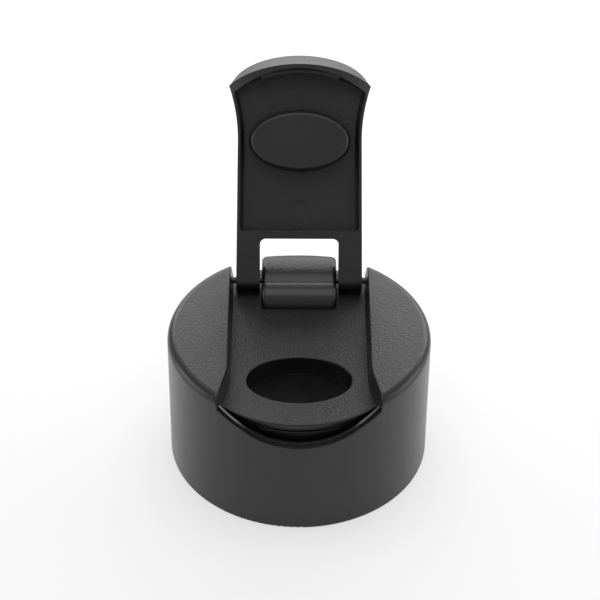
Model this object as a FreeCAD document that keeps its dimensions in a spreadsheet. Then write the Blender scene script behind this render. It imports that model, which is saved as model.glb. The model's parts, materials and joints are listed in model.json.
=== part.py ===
import FreeCAD, Part
import math
import os

import Sketcher
from FreeCAD import Placement, Rotation, Vector

# Flip-top drinking cap for a wide-mouth bottle, in millimetres.
# Origin: centre of the base plane. +Z up, the drinking side faces -Y, the hinge is at +Y.
# The lid is drawn closed, flush with the top, and its Placement turns it open about the pin.

doc = FreeCAD.newDocument("FlipTopCap")

SIZES = [
    # name, value, meaning
    ("shell_radius", 34.0, "outer radius of the shell"),
    ("shell_height", 37.7, "base plane to top face"),
    ("shell_wall", 2.1, "thickness of the cylindrical wall"),
    ("roof_wall", 2.0, "thickness of the shell's roof"),
    ("shoulder_round", 2.2, "round between top face and wall"),
    ("foot_round", 0.5, "round at the shell's bottom edge"),
    ("recess_depth", 5.45, "top face to recess floor"),
    ("recess_half", 18.3, "half-width of the recess at the hinge, at the top"),
    ("recess_waist", 0.6, "start of the recess's flare behind the opening's centre"),
    ("recess_bend", 27.0, "radius of the flare's bend"),
    ("recess_flare", 12.5, "angle of the flared sides, degrees"),
    ("recess_draft", 8.0, "draft of the recess walls, degrees"),
    ("recess_skirt", 1.8, "thickness of the recess walls"),
    ("recess_edge", 0.3, "round on the top edge of the recess"),
    ("smile_radius", 35.9, "radius of the curved front cut, seen from the front"),
    ("smile_depth", 10.35, "top face to the lowest point of the front cut"),
    ("ledge_step", 0.6, "height of the upstand on the ledge"),
    ("ledge_upstand", 0.95, "thickness of the upstand"),
    ("nest_gap", 0.1, "inner cap to shell wall"),
    ("liner_wall", 2.5, "thickness of the inner cap's threaded wall"),
    ("panel_wall", 2.0, "thickness of the recess floor"),
    ("lead_in_cut", 0.4, "how much wider the plain mouth is than the threaded bore"),
    ("lead_in_height", 5.0, "height of the plain mouth"),
    ("front_gap", 1.3, "inner cap's front wall to the shell's wall"),
    ("front_gap_depth", 6.8, "depth of that gap below the floor"),
    ("front_gap_angle", 92.0, "sector that the front gap covers, degrees"),
    ("floor_edge", 0.5, "round on the floor's front edge"),
    ("groove_drop", 7.4, "top face to the snap groove"),
    ("groove_width", 0.75, "height of the snap groove"),
    ("groove_cut", 0.6, "depth of the snap groove"),
    ("groove_angle", 38.2, "sector that the snap groove covers, degrees"),
    ("mouth_inset", 20.9, "shell's front to the centre of the drinking opening"),
    ("mouth_half_width", 13.4, "half the opening's width"),
    ("mouth_half_depth", 8.8, "half the opening's front-to-back size"),
    ("mouth_collar_wall", 1.5, "thickness of the collar under the opening"),
    ("mouth_collar_drop", 3.6, "length of that collar below the panel"),
    ("mouth_round", 0.45, "round on the opening's rim"),
    ("thread_start", 7.6, "base plane to the first turn of the thread"),
    ("thread_pitch", 5.0, "rise of the thread in one turn"),
    ("thread_rise", 7.5, "height that the thread climbs"),
    ("thread_depth", 1.1, "height of the thread's ridge"),
    ("thread_root", 2.6, "width of the ridge at the wall"),
    ("thread_crest", 1.0, "width of the ridge at its top"),
    ("seal_play", 0.6, "neck seal to the threaded wall"),
    ("seal_width", 4.1, "width of the neck seal's ring"),
    ("seal_thick", 2.0, "thickness of the neck seal"),
    ("seal_rib", 0.9, "thickness of the rib that holds the seal"),
    ("pin_inset", 9.9, "shell's back to the hinge pin"),
    ("pin_drop", 2.5, "top face to the pin's centre"),
    ("pin_radius", 0.8, "radius of the hinge pin"),
    ("pin_half", 19.4, "half the length of the hinge pin"),
    ("pin_run", 0.05, "running clearance of the lid's arms on the pin"),
    ("block_half", 10.0, "half the width of the hinge block"),
    ("block_ahead", 9.0, "front of the hinge block to the pin"),
    ("valley_ahead", 2.0, "crease across the block to the pin"),
    ("valley_drop", 1.5, "top face to the crease"),
    ("crest_behind", 3.9, "pin to the block's highest line"),
    ("crest_drop", 0.2, "top face to that line"),
    ("block_back_drop", 1.2, "top face to the block's back edge"),
    ("block_inset", 0.55, "block's back face inside the shell's radius"),
    ("block_round", 1.3, "round on the block's side edges"),
    ("lid_thick", 5.0, "top face to the lid's rim"),
    ("lid_skin", 2.0, "thickness of the lid's skin"),
    ("lid_hinge_half", 16.75, "half-width of the lid at the hinge"),
    ("lid_waist_half", 16.43, "half-width of the lid at its waist"),
    ("waist_ahead", 0.3, "opening's centre to the lid's waist"),
    ("lid_bend", 43.0, "radius of the lid's flare"),
    ("nose_half", 18.6, "half-width of the rounded nose"),
    ("nose_inset", 7.7, "shell's front to the centre of the nose's curve"),
    ("nose_reach", 9.5, "reach of the nose beyond that centre"),
    ("nose_slope", 1.9, "how far the nose slopes in below the shell's radius"),
    ("flange_gap", 0.9, "lid's front flange to the ledge"),
    ("flange_clear", 0.5, "inner cap's front wall to the flange's root"),
    ("flange_ahead", 1.5, "nose's centre to the back of the flange"),
    ("flange_draft", 12.5, "slope of the flange's inner face, degrees"),
    ("bead_clear", 0.35, "inner cap's front wall to the snap bead"),
    ("bead_height", 0.5, "height of the bead's flat"),
    ("bead_lead", 0.4, "height of the bead's sloping upper side"),
    ("bead_catch", 0.1, "height of the bead's sloping lower side"),
    ("bead_root", 1.2, "how deep the bead is rooted outside the flange's root"),
    ("rim_width", 0.75, "width of the lid's rim at its lower edge"),
    ("rim_slope", 0.95, "how far the rim's inner side slopes in"),
    ("window_bar", 2.0, "rim between the hollow and the window"),
    ("field_corner", 1.2, "corner round of that hollow"),
    ("window_half", 10.5, "half-width of the window at the hinge"),
    ("window_reach", 11.2, "front edge of the window to the pin"),
    ("window_corner", 1.6, "corner round of the window"),
    ("barrel_radius", 2.5, "radius of the arms' round ends"),
    ("heel_round", 1.5, "round on the arms' upper heel"),
    ("eject_mark", 3.2, "radius of the ejector mark under the lid"),
    ("eject_ahead", 4.9, "ejector mark's centre to the hollow's back end"),
    ("eject_cut", 0.15, "depth of the ejector mark"),
    ("plug_overlap", 0.13, "how much wider than the opening the stopper's base is, each side"),
    ("plug_end_play", 0.52, "stopper's base inside the opening, front and back"),
    ("plug_taper", 0.75, "how much the stopper narrows on each side"),
    ("plug_length", 5.0, "height of the stopper"),
    ("plug_round", 0.9, "round on the stopper's face"),
    ("open_angle", 124.5, "lid's opening at its stop, degrees"),
]

sheet = doc.addObject("Spreadsheet::Sheet", "Sizes")
size = {}
for row, (alias, value, meaning) in enumerate(SIZES, start=1):
    sheet.set(f"A{row}", meaning)
    sheet.set(f"B{row}", str(value))
    sheet.setAlias(f"B{row}", alias)
    size[alias] = value
doc.recompute()

# Levels and radii that several pieces share.
top = size["shell_height"]
floor = top - size["recess_depth"]
panel_under = floor - size["panel_wall"]
shell_inner = size["shell_radius"] - size["shell_wall"]
pin_level = top - size["pin_drop"]
rim_level = top - size["lid_thick"]
front_wall = shell_inner - size["front_gap"]
liner = shell_inner - size["nest_gap"]
neck = liner - size["liner_wall"]
seal_outer = neck - size["seal_play"]
seal_inner = seal_outer - size["seal_width"]
pin_place = size["shell_radius"] - size["pin_inset"]
mouth_place = size["mouth_inset"] - size["shell_radius"]
recess_waist = mouth_place + size["recess_waist"]
lid_waist = mouth_place - size["waist_ahead"]
nose_centre = size["nose_inset"] - size["shell_radius"]
nose_foot = size["shell_radius"] - size["nose_slope"]
flange_root = front_wall + size["flange_clear"]
window_front = pin_place - size["window_reach"]
hollow_back = window_front - size["window_bar"]
smile_centre = top - size["smile_depth"] + size["smile_radius"]
beyond = size["shell_radius"] + 6.0
well_below = top - size["smile_depth"] - 3.0


def new_body(name):
    body = doc.addObject("PartDesign::Body", name)
    body.Label = name
    body.Placement = Placement()
    return body


def new_sketch(body, name, role, offset=0.0):
    """A sketch on one of the body's origin planes, moved along the plane's normal."""
    sketch = body.newObject("Sketcher::SketchObject", name)
    plane = next(item for item in body.Origin.OriginFeatures if item.Role == role)
    sketch.AttachmentSupport = [(plane, "")]
    sketch.MapMode = "FlatFace"
    sketch.AttachmentOffset = Placement(Vector(0, 0, offset), Rotation())
    return sketch


def outline(sketch, *path):
    """A closed outline. Each step of path ends at its last point: (end,) draws a line,
    (middle, end) an arc, and an ellipse arc is given as (curve, end)."""
    points = [Vector(*step[-1], 0) for step in path]
    first = sketch.GeometryCount
    for number, step in enumerate(path):
        start = points[number - 1]
        if len(step) == 1:
            curve = Part.LineSegment(start, points[number])
        elif isinstance(step[0], tuple):
            curve = Part.Arc(start, Vector(*step[0], 0), points[number])
        else:
            curve = step[0]
        sketch.addGeometry(curve, False)
    for number in range(len(path)):
        edge = first + number
        following = first + (number + 1) % len(path)
        here = 2 if sketch.getPoint(edge, 2).isEqual(points[number], 1e-5) else 1
        there = 1 if sketch.getPoint(following, 1).isEqual(points[number], 1e-5) else 2
        sketch.addConstraint(Sketcher.Constraint("Coincident", edge, here, following, there))


def rectangle(sketch, low_u, low_v, high_u, high_v):
    outline(sketch, ((low_u, low_v),), ((high_u, low_v),), ((high_u, high_v),), ((low_u, high_v),))


def circle(sketch, centre_u, centre_v, radius_name):
    """A circle whose radius is bound to the sheet."""
    place = Vector(centre_u, centre_v, 0)
    edge = sketch.addGeometry(Part.Circle(place, Vector(0, 0, 1), size[radius_name]), False)
    number = sketch.addConstraint(Sketcher.Constraint("Radius", edge, size[radius_name]))
    sketch.renameConstraint(number, "radius")
    sketch.setExpression("Constraints.radius", f"Sizes.{radius_name}")


def ellipse(sketch, centre_v, half_width, half_depth):
    centre = Vector(0, centre_v, 0)
    long_end = centre + Vector(half_width, 0, 0)
    short_end = centre + Vector(0, half_depth, 0)
    sketch.addGeometry(Part.Ellipse(long_end, short_end, centre), False)


def pad(body, name, sketch, length, both_sides=False):
    feature = body.newObject("PartDesign::Pad", name)
    feature.Profile = sketch
    feature.setExpression("Length", length)
    feature.SideType = "Symmetric" if both_sides else "One side"
    return feature


def pocket(body, name, sketch, length=None, along_normal=False, both_sides=False):
    """Removes the sketch's area: against its normal, along its normal, or both ways."""
    feature = body.newObject("PartDesign::Pocket", name)
    feature.Profile = sketch
    if length is None:
        feature.Type = "ThroughAll"
    else:
        feature.setExpression("Length", length)
    feature.Reversed = along_normal
    feature.SideType = "Symmetric" if both_sides else "One side"
    return feature


def turned(body, kind, name, sketch, angle="360"):
    """A Revolution or Groove of the sketch about the cap's axis."""
    feature = body.newObject(f"PartDesign::{kind}", name)
    feature.Profile = sketch
    feature.ReferenceAxis = (sketch, ["V_Axis"])
    feature.Midplane = True
    feature.setExpression("Angle", angle)
    return feature


def fillet(body, name, radius_name, choose):
    """Rounds the edges of the body so far that choose(edge) picks."""
    doc.recompute()
    base = body.Tip
    names = [f"Edge{i}" for i, edge in enumerate(base.Shape.Edges, start=1) if choose(edge)]
    if not names:
        raise RuntimeError(f"{name}: no edge to round")
    feature = body.newObject("PartDesign::Fillet", name)
    feature.Base = (base, names)
    feature.setExpression("Radius", f"Sizes.{radius_name}")
    return feature


def combine(body, name, kind, tool):
    feature = body.newObject("PartDesign::Boolean", name)
    feature.Type = kind
    feature.setObjects([tool])
    return feature


def drop(alias):
    return top - size[alias]


def at_level(edge, level):
    box = edge.BoundBox
    return abs(box.ZMin - level) < 1e-3 and abs(box.ZMax - level) < 1e-3


def upright(edge):
    box = edge.BoundBox
    return box.XLength < 1e-3 and box.YLength < 1e-3


def middle_radius(edge):
    """Distance from the cap's axis to the middle of the edge."""
    point = edge.valueAt((edge.FirstParameter + edge.LastParameter) / 2)
    return math.hypot(point.x, point.y)


def on_block_side(edge):
    box = edge.BoundBox
    on_side = box.XLength < 1e-3 and abs(abs(box.XMin) - size["block_half"]) < 1e-3
    return on_side and box.ZMax > floor + 0.1 and box.YLength > 1.0


def on_arc(centre_u, centre_v, radius, angle):
    turn = math.radians(angle)
    return (centre_u + radius * math.cos(turn), centre_v + radius * math.sin(turn))


def meet_circle(start, ahead, radius):
    """Where the line from start through ahead leaves a circle about the cap's axis."""
    step = (ahead[0] - start[0], ahead[1] - start[1])
    a = step[0] ** 2 + step[1] ** 2
    b = start[0] * step[0] + start[1] * step[1]
    c = start[0] ** 2 + start[1] ** 2 - radius ** 2
    reach = (math.sqrt(b * b - a * c) - b) / a
    return (start[0] + reach * step[0], start[1] + reach * step[1])


def recess_side(narrower, side):
    """Points of one side of the recess, from the back to the front, narrower than at the top."""
    half = size["recess_half"] - narrower
    turn = math.radians(size["recess_flare"])
    bend = size["recess_bend"] + narrower
    waist = recess_waist
    middle = (side * (half + bend * (1 - math.cos(turn / 2))), waist - bend * math.sin(turn / 2))
    end = (side * (half + bend * (1 - math.cos(turn))), waist - bend * math.sin(turn))
    front = -beyond
    tip = (end[0] + side * (end[1] - front) * math.tan(turn), front)
    return (side * half, beyond), (side * half, waist), middle, end, tip


def recess_outline(sketch, narrower):
    back_l, waist_l, bend_l, end_l, tip_l = recess_side(narrower, -1)
    back_r, waist_r, bend_r, end_r, tip_r = recess_side(narrower, 1)
    outline(sketch, (back_l,), (waist_l,), (bend_l, end_l), (tip_l,), (tip_r,), (end_r,),
            (bend_r, waist_r), (back_r,))


def smile_under(sketch, radius):
    """The area under the curved front cut, for a radius about the cut's centre."""
    wide = size["shell_radius"] * 0.8
    rise = math.sqrt(radius ** 2 - wide ** 2)
    left = (-wide, smile_centre - rise)
    right = (wide, smile_centre - rise)
    bottom = (0.0, smile_centre - radius)
    outline(sketch, ((-wide, 0.0),), (left,), (bottom, right), ((wide, 0.0),))


def recess_space(name):
    """A body with the recess's drafted plan, from well under the front cut to above the top."""
    body = new_body(name)
    narrowing = math.tan(math.radians(size["recess_draft"]))
    low = new_sketch(body, name + "_low", "XY_Plane", well_below)
    recess_outline(low, (top - well_below) * narrowing)
    high = new_sketch(body, name + "_high", "XY_Plane", top + 1.0)
    recess_outline(high, -narrowing)
    loft = body.newObject("PartDesign::AdditiveLoft", name + "_loft")
    loft.Profile = low
    loft.Sections = [high]
    loft.Ruled = True
    return body


def make_recess_form():
    """The recess itself: down to the floor, open at the back, and inside the front wall."""
    body = recess_space("recess_form")
    under = new_sketch(body, "recess_floor", "XY_Plane", floor)
    rectangle(under, -beyond, -beyond, beyond, beyond)
    pocket(body, "recess_above_floor", under)
    front = new_sketch(body, "recess_front", "XY_Plane")
    wide = math.sqrt(shell_inner ** 2 - recess_waist ** 2)
    outline(front, ((-wide, recess_waist),), ((0.0, -shell_inner), (wide, recess_waist)),
            ((beyond, recess_waist),), ((beyond, -beyond),), ((-beyond, -beyond),),
            ((-beyond, recess_waist),))
    pocket(body, "recess_inside_wall", front, along_normal=True)
    return body


def make_ledge_form(name, cut_radius, core):
    """What the curved front cut takes out of the wall outside the core radius."""
    body = recess_space(name)
    smile = new_sketch(body, name + "_smile", "XZ_Plane")
    smile_under(smile, cut_radius)
    pocket(body, name + "_above_smile", smile, along_normal=True)
    rear = new_sketch(body, name + "_rear", "XZ_Plane")
    rectangle(rear, -beyond, 0.0, beyond, top + size["roof_wall"])
    pocket(body, name + "_front_half", rear)
    hollow = new_sketch(body, name + "_core", "XY_Plane")
    hollow.addGeometry(Part.Circle(Vector(0, 0, 0), Vector(0, 0, 1), core), False)
    pocket(body, name + "_outside_core", hollow, along_normal=True)
    return body


def make_outer_shell():
    """A cup with a waisted recess whose drafted walls hang down to the inner cap's floor."""
    recess = make_recess_form()
    lip = make_ledge_form("lip_form", size["smile_radius"] - size["ledge_step"], shell_inner)
    ledge = make_ledge_form("ledge_form", size["smile_radius"], shell_inner + size["ledge_upstand"])

    body = new_body("outer_shell")
    section = new_sketch(body, "shell_section", "XZ_Plane")
    radius = size["shell_radius"]
    shoulder = size["shoulder_round"]
    foot = size["foot_round"]
    under_roof = top - size["roof_wall"]
    outline(section,
            ((shell_inner, 0.0),),
            ((radius - foot, 0.0),),
            (on_arc(radius - foot, foot, foot, -45.0), (radius, foot)),
            ((radius, top - shoulder),),
            (on_arc(radius - shoulder, top - shoulder, shoulder, 45.0), (radius - shoulder, top)),
            ((0.0, top),),
            ((0.0, under_roof),),
            ((shell_inner, under_roof),))
    turned(body, "Revolution", "shell_cup", section)

    skirt = new_sketch(body, "skirt_plan", "XY_Plane", floor)
    mid_wall = shell_inner + size["shell_wall"] / 2
    back_l, waist_l, bend_l, end_l, tip_l = recess_side(-size["recess_skirt"], -1)
    back_r, waist_r, bend_r, end_r, tip_r = recess_side(-size["recess_skirt"], 1)
    front_l = meet_circle(end_l, tip_l, mid_wall)
    front_r = meet_circle(end_r, tip_r, mid_wall)
    rear_l = meet_circle(waist_l, back_l, mid_wall)
    rear_r = meet_circle(waist_r, back_r, mid_wall)
    outline(skirt, (waist_l,), (bend_l, end_l), (front_l,), ((0.0, -mid_wall), front_r),
            (end_r,), (bend_r, waist_r), (rear_r,), ((0.0, mid_wall), rear_l))
    pad(body, "skirts", skirt, "Sizes.recess_depth - Sizes.roof_wall / 2")
    combine(body, "recess_cut", "Cut", recess)
    combine(body, "lip_cut", "Cut", lip)
    combine(body, "ledge_cut", "Cut", ledge)

    bore = new_sketch(body, "shell_pin_bore", "YZ_Plane")
    circle(bore, pin_place, pin_level, "pin_radius")
    pocket(body, "shell_pin_holes", bore, "2 * Sizes.pin_half", both_sides=True)

    inside = radius - shoulder - 0.01
    fillet(body, "recess_round", "recess_edge",
           lambda edge: at_level(edge, top) and middle_radius(edge) < inside)
    return body


def make_inner_cap():
    """The liner that screws on the neck: its panel is the recess floor, and it carries the
    drinking opening, the snap groove and the hinge block."""
    body = new_body("inner_cap")
    section = new_sketch(body, "liner_section", "XZ_Plane")
    mouth_radius = neck + size["lead_in_cut"]
    lead_in = size["lead_in_height"]
    outline(section, ((mouth_radius, 0.0),), ((liner, 0.0),), ((liner, floor),), ((0.0, floor),),
            ((0.0, panel_under),), ((neck, panel_under),), ((neck, lead_in),), ((mouth_radius, lead_in),))
    turned(body, "Revolution", "liner", section)

    rib = new_sketch(body, "rib_section", "XZ_Plane")
    rib_outer = seal_inner - size["nest_gap"]
    rectangle(rib, rib_outer - size["seal_rib"], panel_under - size["seal_thick"],
              rib_outer, panel_under + size["panel_wall"] / 2)
    turned(body, "Revolution", "seal_rib_ring", rib)

    collar = new_sketch(body, "collar_plan", "XY_Plane", panel_under - size["mouth_collar_drop"])
    ellipse(collar, mouth_place, size["mouth_half_width"] + size["mouth_collar_wall"],
            size["mouth_half_depth"] + size["mouth_collar_wall"])
    pad(body, "collar", collar, "Sizes.mouth_collar_drop + Sizes.panel_wall / 2")

    gap = new_sketch(body, "front_gap_section", "YZ_Plane")
    rectangle(gap, -beyond, floor - size["front_gap_depth"], -front_wall, top)
    turned(body, "Groove", "front_gap_cut", gap, "Sizes.front_gap_angle")

    groove = new_sketch(body, "snap_groove_section", "YZ_Plane")
    half = size["groove_width"] / 2
    rectangle(groove, -beyond, drop("groove_drop") - half,
              size["groove_cut"] - front_wall, drop("groove_drop") + half)
    turned(body, "Groove", "snap_groove", groove, "Sizes.groove_angle")

    mouth = new_sketch(body, "mouth_plan", "XY_Plane")
    ellipse(mouth, mouth_place, size["mouth_half_width"], size["mouth_half_depth"])
    pocket(body, "mouth", mouth, along_normal=True)

    fillet(body, "mouth_rim", "mouth_round",
           lambda edge: at_level(edge, floor) and middle_radius(edge) < front_wall - 1)
    fillet(body, "floor_front_round", "floor_edge",
           lambda edge: at_level(edge, floor) and abs(middle_radius(edge) - front_wall) < 1e-3)

    side = new_sketch(body, "block_side", "YZ_Plane")
    front = pin_place - size["block_ahead"]
    valley = (pin_place - size["valley_ahead"], drop("valley_drop"))
    crest = (pin_place + size["crest_behind"], drop("crest_drop"))
    back_radius = size["shell_radius"] - size["block_inset"]
    back = (back_radius, drop("block_back_drop"))
    run = valley[0] - front
    rise = valley[1] - floor
    roll = (run ** 2 + rise ** 2) / (2 * run)
    swing = 180.0 - math.degrees(math.atan2(rise, valley[0] - front - roll))
    outline(side, ((front, floor),), (on_arc(front + roll, floor, roll, 180.0 - swing / 2), valley),
            (crest, back), ((back_radius, floor),))
    pad(body, "hinge_block", side, "2 * Sizes.block_half", both_sides=True)
    trim = new_sketch(body, "block_trim", "XZ_Plane")
    rectangle(trim, back_radius, floor, beyond, top)
    turned(body, "Groove", "block_back", trim)
    fillet(body, "block_edges", "block_round", lambda edge: on_block_side(edge))

    bore = new_sketch(body, "block_pin_bore", "YZ_Plane")
    circle(bore, pin_place, pin_level, "pin_radius")
    pocket(body, "block_pin_hole", bore, "2 * Sizes.block_half + 1", both_sides=True)

    ridge = new_sketch(body, "thread_section", "XZ_Plane")
    start = size["thread_start"]
    root = neck + size["nest_gap"]
    crest_radius = neck - size["thread_depth"]
    half_root = size["thread_root"] / 2
    half_crest = size["thread_crest"] / 2
    outline(ridge, ((root, start - half_root),), ((root, start + half_root),),
            ((crest_radius, start + half_crest),), ((crest_radius, start - half_crest),))
    thread = body.newObject("PartDesign::AdditiveHelix", "neck_thread")
    thread.Profile = ridge
    thread.ReferenceAxis = (ridge, ["V_Axis"])
    thread.Mode = "pitch-height-angle"
    thread.setExpression("Pitch", "Sizes.thread_pitch")
    thread.setExpression("Height", "Sizes.thread_rise")
    return body


def make_neck_seal():
    body = new_body("neck_seal")
    section = new_sketch(body, "seal_section", "XZ_Plane")
    rectangle(section, seal_inner, panel_under - size["seal_thick"],
              seal_outer, panel_under)
    turned(body, "Revolution", "seal_ring", section)
    return body


def make_hinge_pin():
    body = new_body("hinge_pin")
    section = new_sketch(body, "pin_section", "YZ_Plane")
    circle(section, pin_place, pin_level, "pin_radius")
    pad(body, "pin_rod", section, "2 * Sizes.pin_half", both_sides=True)
    return body


def lid_side(inset, side):
    """Points of one side of the lid's outline, from the hinge end to the flare's front."""
    waist = (side * (size["lid_waist_half"] - inset), lid_waist)
    hinge = (side * (size["lid_hinge_half"] - inset), pin_place)
    bend = size["lid_bend"] + inset
    turn = math.asin((lid_waist - nose_centre + size["flange_ahead"] * 2) / bend)
    middle = (side * (size["lid_waist_half"] - inset + bend * (1 - math.cos(turn / 2))),
              lid_waist - bend * math.sin(turn / 2))
    front = (side * (size["lid_waist_half"] - inset + bend * (1 - math.cos(turn))),
             lid_waist - bend * math.sin(turn))
    return hinge, waist, middle, front


def make_nose_form():
    """The lid's space seen from the nose: the rounded thumb lip slopes in to the flange's foot."""
    body = new_body("nose_form")
    high = new_sketch(body, "nose_top", "XY_Plane", top)
    half = size["nose_half"]
    centre = nose_centre
    nose = Part.Ellipse(Vector(half, centre, 0), Vector(0, centre + size["nose_reach"], 0),
                        Vector(0, centre, 0))
    outline(high, ((-half, centre),), (Part.ArcOfEllipse(nose, math.pi, 2 * math.pi), (half, centre)),
            ((beyond, beyond),), ((-beyond, beyond),))
    low = new_sketch(body, "nose_foot_line", "XY_Plane", well_below)
    foot = nose_foot
    outline(low, ((-foot, 0.0),), ((0.0, -foot), (foot, 0.0)), ((beyond, beyond),), ((-beyond, beyond),))
    loft = body.newObject("PartDesign::AdditiveLoft", "nose_loft")
    loft.Profile = low
    loft.Sections = [high]
    loft.Ruled = True
    return body


def make_flip_lid(opened):
    """A waisted tray with two arms at the hinge and a flange that drops over the front edge."""
    nose = make_nose_form()
    body = new_body("flip_lid")
    side = new_sketch(body, "lid_side_view", "YZ_Plane")
    pin = pin_place
    barrel = size["barrel_radius"]
    heel = size["heel_round"]
    heel_y = pin + barrel - heel
    flange_back = nose_centre + size["flange_ahead"]
    outline(side, ((-beyond, well_below),), ((flange_back, well_below),), ((flange_back, rim_level),),
            ((pin, pin_level - barrel),), (on_arc(pin, pin_level, barrel, -45.0), (pin + barrel, pin_level)),
            ((pin + barrel, top - heel),), (on_arc(heel_y, top - heel, heel, 45.0), (heel_y, top)),
            ((-beyond, top),))
    pad(body, "lid_slab", side, "2 * Sizes.shell_radius", both_sides=True)

    plan = new_sketch(body, "lid_plan", "XY_Plane")
    hinge_l, waist_l, bend_l, front_l = lid_side(0.0, -1)
    hinge_r, waist_r, bend_r, front_r = lid_side(0.0, 1)
    outline(plan, ((hinge_l[0], beyond),), (hinge_l,), (waist_l,), (bend_l, front_l),
            ((front_l[0], -beyond),), ((front_r[0], -beyond),), (front_r,), (bend_r, waist_r), (hinge_r,),
            ((hinge_r[0], beyond),))
    wide = 2 * size["shell_radius"]
    rectangle(plan, -wide, -wide, wide, wide)
    pocket(body, "lid_outline", plan, along_normal=True)
    combine(body, "nose_shape", "Common", nose)

    under = new_sketch(body, "flange_section", "XZ_Plane")
    slope = (rim_level - well_below) * math.tan(math.radians(size["flange_draft"]))
    root = flange_root
    outline(under, ((0.0, well_below),), ((root + slope, well_below),), ((root, rim_level),),
            ((0.0, rim_level),))
    turned(body, "Groove", "flange_inside", under)
    smile = new_sketch(body, "flange_smile", "XZ_Plane", -flange_back)
    smile_under(smile, size["smile_radius"] - size["flange_gap"])
    pocket(body, "flange_foot", smile, along_normal=True)

    loft = body.newObject("PartDesign::SubtractiveLoft", "lid_hollow")
    rim = size["rim_width"]
    low = new_sketch(body, "hollow_rim", "XY_Plane", rim_level)
    hollow_outline(low, rim)
    high = new_sketch(body, "hollow_field", "XY_Plane", top - size["lid_skin"])
    hollow_outline(high, rim + size["rim_slope"])
    loft.Profile = low
    loft.Sections = [high]
    loft.Ruled = True
    body.Tip = loft

    window = new_sketch(body, "window_plan", "XY_Plane")
    half = size["window_half"]
    rectangle(window, -half, window_front, half, beyond)
    pocket(body, "window", window, along_normal=True)
    fillet(body, "window_corners", "window_corner",
           lambda edge: upright(edge) and abs(edge.BoundBox.YMin - window_front) < 1e-3)

    bore = new_sketch(body, "lid_pin_bore", "YZ_Plane")
    ring = bore.addGeometry(Part.Circle(Vector(pin, pin_level, 0), Vector(0, 0, 1),
                                        size["pin_radius"] + size["pin_run"]), False)
    bore.addConstraint(Sketcher.Constraint("Radius", ring, size["pin_radius"] + size["pin_run"]))
    bore.setExpression("Constraints[0]", "Sizes.pin_radius + Sizes.pin_run")
    pocket(body, "lid_pin_holes", bore, "2 * Sizes.shell_radius", both_sides=True)

    bead = new_sketch(body, "bead_section", "YZ_Plane")
    level = drop("groove_drop")
    flat = size["bead_height"] / 2
    inside = root + size["bead_root"]
    reach = front_wall + size["bead_clear"]
    outline(bead, ((-inside, level - flat - size["bead_catch"]),), ((-reach, level - flat),),
            ((-reach, level + flat),), ((-inside, level + flat + size["bead_lead"]),))
    turned(body, "Revolution", "snap_bead", bead, "Sizes.groove_angle")

    mark = new_sketch(body, "eject_plan", "XY_Plane", top - size["lid_skin"])
    circle(mark, 0.0, hollow_back - size["eject_ahead"], "eject_mark")
    pocket(body, "ejector_mark", mark, "Sizes.eject_cut", along_normal=True)

    body.Placement = opened
    return body


def hollow_outline(sketch, inset):
    """The hollow under the lid, drawn inset from the lid's sides and kept inside the flange."""
    hinge_l, waist_l, bend_l, front_l = lid_side(inset, -1)
    hinge_r, waist_r, bend_r, front_r = lid_side(inset, 1)
    back = hollow_back
    corner = size["field_corner"]
    root = flange_root
    start_l = flare_at_radius(inset, root)
    start_r = (-start_l[0], start_l[1])
    wide = hinge_l[0] + (waist_l[0] - hinge_l[0]) * (hinge_l[1] - back) / (hinge_l[1] - waist_l[1])
    half = abs(wide)
    mid_l = on_flare(inset, -1, (start_l[1] + waist_l[1]) / 2)
    mid_r = (-mid_l[0], mid_l[1])
    outline(sketch, (waist_l,), (mid_l, start_l),
            ((0.0, -root), start_r), (mid_r, waist_r), ((half, back - corner),),
            (on_arc(half - corner, back - corner, corner, 45.0), (half - corner, back)),
            ((corner - half, back),),
            (on_arc(corner - half, back - corner, corner, 135.0), (-half, back - corner)))


def on_flare(inset, side, place):
    """The point of the lid's flare at one place along the lid."""
    bend = size["lid_bend"] + inset
    ahead = lid_waist - place
    return (side * (size["lid_waist_half"] - inset + bend - math.sqrt(bend ** 2 - ahead ** 2)), place)


def flare_at_radius(inset, radius):
    """Where the left flare crosses a circle about the cap's axis, found by halving."""
    near = lid_waist
    far = -radius
    for _ in range(40):
        middle = (near + far) / 2
        if math.hypot(*on_flare(inset, -1, middle)) < radius:
            near = middle
        else:
            far = middle
    return on_flare(inset, -1, near)


def make_lid_plug(opened):
    """The soft oval stopper under the lid."""
    body = new_body("lid_plug")
    low = new_sketch(body, "plug_base", "XY_Plane", top - size["lid_skin"])
    half_width = size["mouth_half_width"] + size["plug_overlap"]
    half_depth = size["mouth_half_depth"] - size["plug_end_play"]
    ellipse(low, mouth_place, half_width, half_depth)
    high = new_sketch(body, "plug_face", "XY_Plane", top - size["lid_skin"] - size["plug_length"])
    taper = size["plug_taper"]
    ellipse(high, mouth_place, half_width - taper, half_depth - taper)
    loft = body.newObject("PartDesign::AdditiveLoft", "plug_form")
    loft.Profile = low
    loft.Sections = [high]
    loft.Ruled = True
    body.Tip = loft
    face = top - size["lid_skin"] - size["plug_length"]
    fillet(body, "plug_edge", "plug_round", lambda edge: at_level(edge, face))
    body.Placement = opened
    return body


hinge = Vector(0, pin_place, pin_level)
opened = Placement(Vector(0, 0, 0), Rotation(Vector(1, 0, 0), -size["open_angle"]), hinge)
subparts = [
    make_outer_shell(),
    make_inner_cap(),
    make_neck_seal(),
    make_hinge_pin(),
    make_flip_lid(opened),
    make_lid_plug(opened),
]
doc.recompute()

for item in doc.Objects:
    if "Invalid" in item.State or "Error" in item.State:
        raise RuntimeError(f"{item.Name}: {item.State}")
for body in subparts:
    shape = body.Shape
    if shape.isNull() or not shape.isValid() or len(shape.Solids) != 1:
        raise RuntimeError(f"{body.Label}: not one valid solid")

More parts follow.
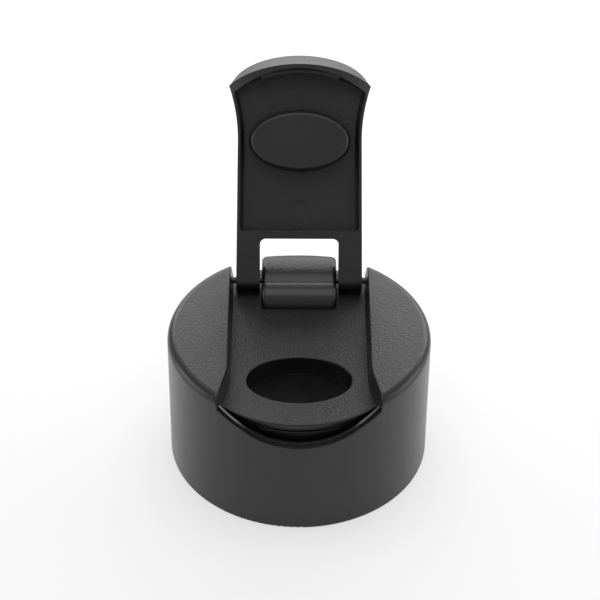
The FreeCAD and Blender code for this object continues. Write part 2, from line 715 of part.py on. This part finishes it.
os.makedirs("parts", exist_ok=True)
for body in subparts:
    body.Shape.exportStep(f"parts/{body.Label}.step")
    box = body.Shape.BoundBox
    print(f"{body.Label}: {body.Shape.Volume:.0f} mm3, "
          f"x {box.XMin:.2f} {box.XMax:.2f} y {box.YMin:.2f} {box.YMax:.2f} z {box.ZMin:.2f} {box.ZMax:.2f}")
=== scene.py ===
# %% [markdown]
# # A flip-top drinking cap, opened
# This lesson dresses a screw-on cap for a wide-mouth bottle: a cylinder with a waisted recess in
# its top, and in the recess a hinged lid that stands open. Every solid piece comes from the frame,
# so the work here is what makes black plastic believable. Black plastic shows almost no colour:
# the eye reads it by its grain, its gloss and the light that runs along its edges.

# %% Load the frame
import json
import math

import bpy
from mathutils import Matrix, Vector


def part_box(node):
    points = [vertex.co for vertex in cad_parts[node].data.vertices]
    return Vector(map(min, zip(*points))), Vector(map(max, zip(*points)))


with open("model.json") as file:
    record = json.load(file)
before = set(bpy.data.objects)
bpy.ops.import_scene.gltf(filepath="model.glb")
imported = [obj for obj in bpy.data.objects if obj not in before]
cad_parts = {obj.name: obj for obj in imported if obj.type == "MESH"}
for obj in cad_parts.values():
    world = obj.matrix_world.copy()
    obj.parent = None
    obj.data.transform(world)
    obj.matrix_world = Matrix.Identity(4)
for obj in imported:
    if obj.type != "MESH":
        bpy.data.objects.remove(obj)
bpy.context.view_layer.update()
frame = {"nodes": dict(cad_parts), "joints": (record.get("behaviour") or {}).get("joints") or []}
nodes = frame["nodes"]
print("nodes:", sorted(nodes))

# %% [markdown]
# ## Sizes that the scene depends on
# Nothing is typed in that the frame already knows. The shell is the widest piece, so its own box
# gives the cap's radius and height. The lamps aim at that height, and the floor uses the radius.

# %% Sizes read from the frame
MM = 0.001
shell_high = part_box("outer_shell")[1]
CAP_RADIUS = shell_high[0]
CAP_HEIGHT = shell_high[2]
lid_travel = frame["joints"][0]["range_deg"][1]
print(f"cap radius {CAP_RADIUS / MM:.1f} mm, height {CAP_HEIGHT / MM:.1f} mm")
print(f"the lid travels {lid_travel:.1f} degrees to its closed place")

# %% [markdown]
# ## Helpers for node trees
# A shader is a graph, and most of its steps are a sum, a product or a change of range. Three small
# functions make those steps, so that each material below reads as a list of what it does.


# %% A group, a sum and a change of range
def new_group(name, inputs, outputs):
    """A shader node group with float inputs given as (name, value), and named float outputs."""
    group = bpy.data.node_groups.new(name, "ShaderNodeTree")
    for label, value in inputs:
        socket = group.interface.new_socket(label, in_out="INPUT", socket_type="NodeSocketFloat")
        socket.default_value = value
    for label in outputs:
        group.interface.new_socket(label, in_out="OUTPUT", socket_type="NodeSocketFloat")
    return group, group.nodes.new("NodeGroupInput"), group.nodes.new("NodeGroupOutput")


def math_node(tree, operation, *operands):
    """A Math node. Each operand is a socket to link or a plain number."""
    node = tree.nodes.new("ShaderNodeMath")
    node.operation = operation
    for socket, operand in zip(node.inputs, operands):
        if isinstance(operand, (int, float)):
            socket.default_value = operand
        else:
            tree.links.new(operand, socket)
    return node.outputs[0]


def remap(tree, value, low, high):
    """Map Range, clamped: low becomes 0 and high becomes 1."""
    node = tree.nodes.new("ShaderNodeMapRange")
    node.inputs["From Min"].default_value = low
    node.inputs["From Max"].default_value = high
    tree.links.new(value, node.inputs["Value"])
    return node.outputs["Result"]


# %% [markdown]
# ## Two shared effects
# Moulded plastic carries a spark-eroded grain: a carpet of tiny rounded bumps that breaks the
# highlights into a soft sheen. A picture of real grain could be wrapped round the piece, but a
# pattern made from coordinates has no seams and keeps its true size. More than one piece has the
# grain, so it is a node group. It puts out a height, for a Bump node, and a mask that nudges the
# roughness. The second group gives slow cloudy changes, which keep a large dark face from looking
# like a flat fill.


# %% Spark-eroded grain
def build_grain():
    group, inside, outside = new_group("moulded_grain", [("Grain Size", 0.25 * MM)], ["Height", "Mask"])
    where = group.nodes.new("ShaderNodeTexCoord").outputs["Object"]
    per_metre = math_node(group, "DIVIDE", 1.0, inside.outputs["Grain Size"])
    cells = group.nodes.new("ShaderNodeTexVoronoi")
    cells.feature = "SMOOTH_F1"
    cells.inputs["Smoothness"].default_value = 0.6
    group.links.new(where, cells.inputs["Vector"])
    group.links.new(per_metre, cells.inputs["Scale"])
    fine = group.nodes.new("ShaderNodeTexNoise")
    fine.inputs["Detail"].default_value = 3.0
    fine.inputs["Roughness"].default_value = 0.6
    group.links.new(where, fine.inputs["Vector"])
    group.links.new(math_node(group, "MULTIPLY", per_metre, 0.6), fine.inputs["Scale"])
    bumps = math_node(group, "SUBTRACT", 1.0, cells.outputs["Distance"])
    height = math_node(group, "MULTIPLY_ADD", fine.outputs["Fac"], 0.8, bumps)
    group.links.new(height, outside.inputs["Height"])
    group.links.new(remap(group, fine.outputs["Fac"], 0.3, 0.7), outside.inputs["Mask"])
    return group


grain_group = build_grain()
print("made", grain_group.name)


# %% Slow cloudy variation
def build_clouds():
    group, inside, outside = new_group("slow_clouds", [("Cloud Size", 12 * MM)], ["Value"])
    where = group.nodes.new("ShaderNodeTexCoord").outputs["Object"]
    noise = group.nodes.new("ShaderNodeTexNoise")
    noise.inputs["Detail"].default_value = 4.0
    noise.inputs["Roughness"].default_value = 0.55
    group.links.new(where, noise.inputs["Vector"])
    group.links.new(math_node(group, "DIVIDE", 1.0, inside.outputs["Cloud Size"]), noise.inputs["Scale"])
    group.links.new(remap(group, noise.outputs["Fac"], 0.3, 0.7), outside.inputs["Value"])
    return group


cloud_group = build_clouds()
print("made", cloud_group.name)

# %% [markdown]
# ## Where the grain lies
# The shell's top is grained, while its shoulder and side are polished to a satin. The inner cap is
# the same: a grained floor and smooth walls. Painting a mask by hand would work, but the rule is
# simple enough to write down: grain belongs where the face looks straight up. The lid has grain all
# over, so it doesn't need this mask.


# %% A mask of the faces that look up
def flat_top_mask(tree):
    """1 on faces that look straight up, 0 on walls and rounds."""
    normal = tree.nodes.new("ShaderNodeNewGeometry").outputs["True Normal"]
    parts = tree.nodes.new("ShaderNodeSeparateXYZ")
    tree.links.new(normal, parts.inputs[0])
    return remap(tree, parts.outputs["Z"], 0.97, 0.995)


# %% [markdown]
# ## The plastics
# One function makes each finish from plain words: how dark it is, how rough, how large and how deep
# its grain. The grain's depth is in metres through a Bump node, so it is true to the object. A mould
# never gives a knife edge. Bevelling every edge of the mesh would cost many faces, so the Bevel node
# turns the normals round over a quarter of a millimetre instead, and each edge catches its own thin
# line of light.

# %% How much a finish varies
DARK_TINT = (0.85, 0.85, 0.87)
PALE_TINT = (1.15, 1.15, 1.18)
CLOUD_ROUGHNESS = 0.05
GRAIN_ROUGHNESS = 0.10
EDGE_RADIUS = 0.25 * MM
EDGE_SAMPLES = 6
print(f"edges are rounded over {EDGE_RADIUS / MM:.2f} mm")


# %% Colour, roughness and relief
def place_group(tree, group):
    node = tree.nodes.new("ShaderNodeGroup")
    node.node_tree = group
    return node


def tinted(shade, tint):
    return (*[shade * part for part in tint], 1)


def cloudy_tone(tree, clouds, shade):
    """The grey, a little darker and lighter with the clouds."""
    tone = tree.nodes.new("ShaderNodeMix")
    tone.data_type = "RGBA"
    tone.inputs["A"].default_value = tinted(shade, DARK_TINT)
    tone.inputs["B"].default_value = tinted(shade, PALE_TINT)
    tree.links.new(clouds, tone.inputs["Factor"])
    return tone.outputs["Result"]


def soft_edged_relief(tree, height, depth):
    """A bumped normal on top of the rounded edges."""
    edge = tree.nodes.new("ShaderNodeBevel")
    edge.samples = EDGE_SAMPLES
    edge.inputs["Radius"].default_value = EDGE_RADIUS
    bump = tree.nodes.new("ShaderNodeBump")
    bump.inputs["Strength"].default_value = 1.0
    bump.inputs["Distance"].default_value = depth
    tree.links.new(height, bump.inputs["Height"])
    tree.links.new(edge.outputs["Normal"], bump.inputs["Normal"])
    return bump.outputs["Normal"]


# %% A moulded plastic from its numbers
def moulded_plastic(name, shade, roughness, grain_size, grain_height, grain_on_tops_only=False):
    """shade is a grey from 0 to 1; grain_size and grain_height are in metres."""
    material = bpy.data.materials.new(name)
    material.use_nodes = True
    tree = material.node_tree
    surface = tree.nodes["Principled BSDF"]
    grain = place_group(tree, grain_group)
    grain.inputs["Grain Size"].default_value = grain_size
    clouds = place_group(tree, cloud_group).outputs["Value"]
    height = grain.outputs["Height"]
    speckle = grain.outputs["Mask"]
    if grain_on_tops_only:
        tops = flat_top_mask(tree)
        height = math_node(tree, "MULTIPLY", height, tops)
        speckle = math_node(tree, "MULTIPLY", speckle, tops)
    cloudy = math_node(tree, "MULTIPLY_ADD", clouds, CLOUD_ROUGHNESS, roughness - CLOUD_ROUGHNESS)
    rough = math_node(tree, "MULTIPLY_ADD", speckle, GRAIN_ROUGHNESS, cloudy)
    tree.links.new(cloudy_tone(tree, clouds, shade), surface.inputs["Base Color"])
    tree.links.new(rough, surface.inputs["Roughness"])
    tree.links.new(soft_edged_relief(tree, height, grain_height), surface.inputs["Normal"])
    return material


# %% [markdown]
# ## Dressing the six pieces
# The shell, the inner cap and the lid are hard black plastic, and they differ only in their grain.
# The stopper is soft silicone: smoother, a shade lighter and less glossy. The seal inside the cap is
# a pale silicone ring, and the hinge pin is blackened steel, so thin that a dark satin does for it.

# %% Give each piece its finish
FINISHES = {
    # piece: name, shade, roughness, grain size and grain height in mm, grain on tops only
    "outer_shell": ("shell_satin", 0.006, 0.34, 0.34, 0.060, True),
    "inner_cap": ("cap_grained", 0.006, 0.36, 0.34, 0.100, True),
    "flip_lid": ("lid_grained", 0.008, 0.38, 0.34, 0.100, False),
    "lid_plug": ("stopper_silicone", 0.010, 0.42, 0.30, 0.004, False),
    "neck_seal": ("seal_silicone", 0.30, 0.50, 0.30, 0.002, False),
    "hinge_pin": ("pin_black", 0.010, 0.30, 0.30, 0.001, False),
}


def dress(node_name, material):
    """Gives a frame node one material in every slot."""
    piece = nodes[node_name]
    piece.data.materials.clear()
    piece.data.materials.append(material)
    print(f"{node_name}: {material.name}, {len(piece.data.polygons)} faces")


for node_name, (name, shade, roughness, grain_size, grain_height, tops_only) in FINISHES.items():
    dress(node_name, moulded_plastic(name, shade, roughness, grain_size * MM, grain_height * MM, tops_only))

# %% [markdown]
# ## The floor
# The cap stands on a white sweep that keeps a pale, soft shadow. A plain white floor would need so
# much light to look white that the cap would wash out. So the floor is a real matt white, and where
# it is looked at, straight or in a reflection, a little more than half of it is replaced by an even
# white. The patch under the cap stays plain, because it is seen only through the drinking opening,
# where it has to be dark.

# %% Floor sizes
FLOOR_REACH = 3.0
FLOOR_SHADE = 0.9
FLOOR_EVEN_WHITE = 0.55
PLAIN_PATCH = CAP_RADIUS * 0.95
print(f"floor {2 * FLOOR_REACH:.0f} m across, plain within {PLAIN_PATCH / MM:.1f} mm of the centre")


# %% White where the floor is looked at
def seen_outside_cap(tree):
    """1 for camera, glossy and transmission rays that meet the floor away from the cap."""
    path = tree.nodes.new("ShaderNodeLightPath")
    seen = math_node(tree, "MAXIMUM", path.outputs["Is Camera Ray"], path.outputs["Is Glossy Ray"])
    seen = math_node(tree, "MAXIMUM", seen, path.outputs["Is Transmission Ray"])
    away = tree.nodes.new("ShaderNodeVectorMath")
    away.operation = "LENGTH"
    tree.links.new(tree.nodes.new("ShaderNodeTexCoord").outputs["Object"], away.inputs[0])
    outside = math_node(tree, "GREATER_THAN", away.outputs["Value"], PLAIN_PATCH)
    return math_node(tree, "MULTIPLY", seen, outside)


def white_sweep():
    material = bpy.data.materials.new("white_sweep")
    material.use_nodes = True
    tree = material.node_tree
    surface = tree.nodes["Principled BSDF"]
    surface.inputs["Base Color"].default_value = (FLOOR_SHADE, FLOOR_SHADE, FLOOR_SHADE, 1)
    surface.inputs["Roughness"].default_value = 0.9
    white = tree.nodes.new("ShaderNodeEmission")
    blend = tree.nodes.new("ShaderNodeMixShader")
    share = math_node(tree, "MULTIPLY", seen_outside_cap(tree), FLOOR_EVEN_WHITE)
    tree.links.new(share, blend.inputs["Fac"])
    tree.links.new(surface.outputs[0], blend.inputs[1])
    tree.links.new(white.outputs[0], blend.inputs[2])
    tree.links.new(blend.outputs[0], tree.nodes["Material Output"].inputs["Surface"])
    return material


# %% Floor
def build_floor():
    mesh = bpy.data.meshes.new("floor")
    reach = FLOOR_REACH
    corners = [(-reach, -reach, 0), (reach, -reach, 0), (reach, reach, 0), (-reach, reach, 0)]
    mesh.from_pydata(corners, [], [(0, 1, 2, 3)])
    floor = bpy.data.objects.new("floor", mesh)
    bpy.context.scene.collection.objects.link(floor)
    mesh.materials.append(white_sweep())
    return floor


print("made", build_floor().name)

# %% [markdown]
# ## The lamps
# A dark, glossy piece shows its lamps more than its own colour. A box low behind the cap is mirrored
# in its top, and brightest at the back. Two boxes at the sides, with the white floor, draw the pale
# bands down the cylinder, and a large weak one overhead fills the rest. The lamps are hidden from
# the camera, so that no angle shows a lit rectangle.

# %% Soft boxes
LAMPS = [
    # name, place in metres, width and depth in metres, power in watts
    ("back_box", (0.03, 0.21, 0.15), 0.42, 0.14, 0.50),
    ("top_box", (0.0, 0.0, 0.9), 0.8, 0.8, 2.6),
    ("left_box", (-0.5, 0.05, 0.15), 0.3, 0.3, 0.5),
    ("right_box", (0.5, 0.05, 0.15), 0.3, 0.3, 0.5),
]


def soft_box(name, place, width, depth, power):
    light = bpy.data.lights.new(name, "AREA")
    light.shape = "RECTANGLE"
    light.size = width
    light.size_y = depth
    light.energy = power
    lamp = bpy.data.objects.new(name, light)
    lamp.location = place
    towards = Vector((0.0, 0.0, CAP_HEIGHT)) - Vector(place)
    lamp.rotation_euler = towards.to_track_quat("-Z", "Y").to_euler()
    lamp.visible_camera = False
    bpy.context.scene.collection.objects.link(lamp)
    print(f"{name}: {power} W")


for lamp in LAMPS:
    soft_box(*lamp)

# %% The room's even light
ROOM_STRENGTH = 0.5
world = bpy.data.worlds.new("studio")
bpy.context.scene.world = world
world.use_nodes = True
room = world.node_tree.nodes["Background"]
room.inputs["Color"].default_value = (1, 1, 1, 1)
room.inputs["Strength"].default_value = ROOM_STRENGTH
print("room light", ROOM_STRENGTH)

# %% [markdown]
# ## The camera
# A long lens from half a metre looks down on the cap from the front. The distance sets how strongly
# the lid seems to taper, and the lens then sets how large the cap stands in the frame. The small
# turn and roll are those of a hand-set camera. The view transform is Standard, so that a colour
# comes out as it is written.

# %% Camera
ELEVATION = math.radians(38.463)
AZIMUTH = math.radians(0.356)
ROLL = math.radians(0.487)
DISTANCE = 534.6 * MM
AIM = Vector((0.14 * MM, 0.0, 47.64 * MM))
LENS = 125.93
SENSOR = 36.0


def place_camera():
    level = math.cos(ELEVATION)
    ahead = Vector((math.sin(AZIMUTH) * level, math.cos(AZIMUTH) * level, -math.sin(ELEVATION)))
    data = bpy.data.cameras.new("camera")
    data.sensor_width = SENSOR
    data.lens = LENS
    camera = bpy.data.objects.new("camera", data)
    upright = ahead.to_track_quat("-Z", "Y").to_matrix()
    turned = (upright @ Matrix.Rotation(ROLL, 3, "Z")).to_4x4()
    camera.matrix_world = Matrix.Translation(AIM - DISTANCE * ahead) @ turned
    bpy.context.scene.collection.objects.link(camera)
    bpy.context.scene.camera = camera
    print("camera at", [round(c / MM, 1) for c in camera.location], "mm")


place_camera()
bpy.context.scene.view_settings.view_transform = "Standard"
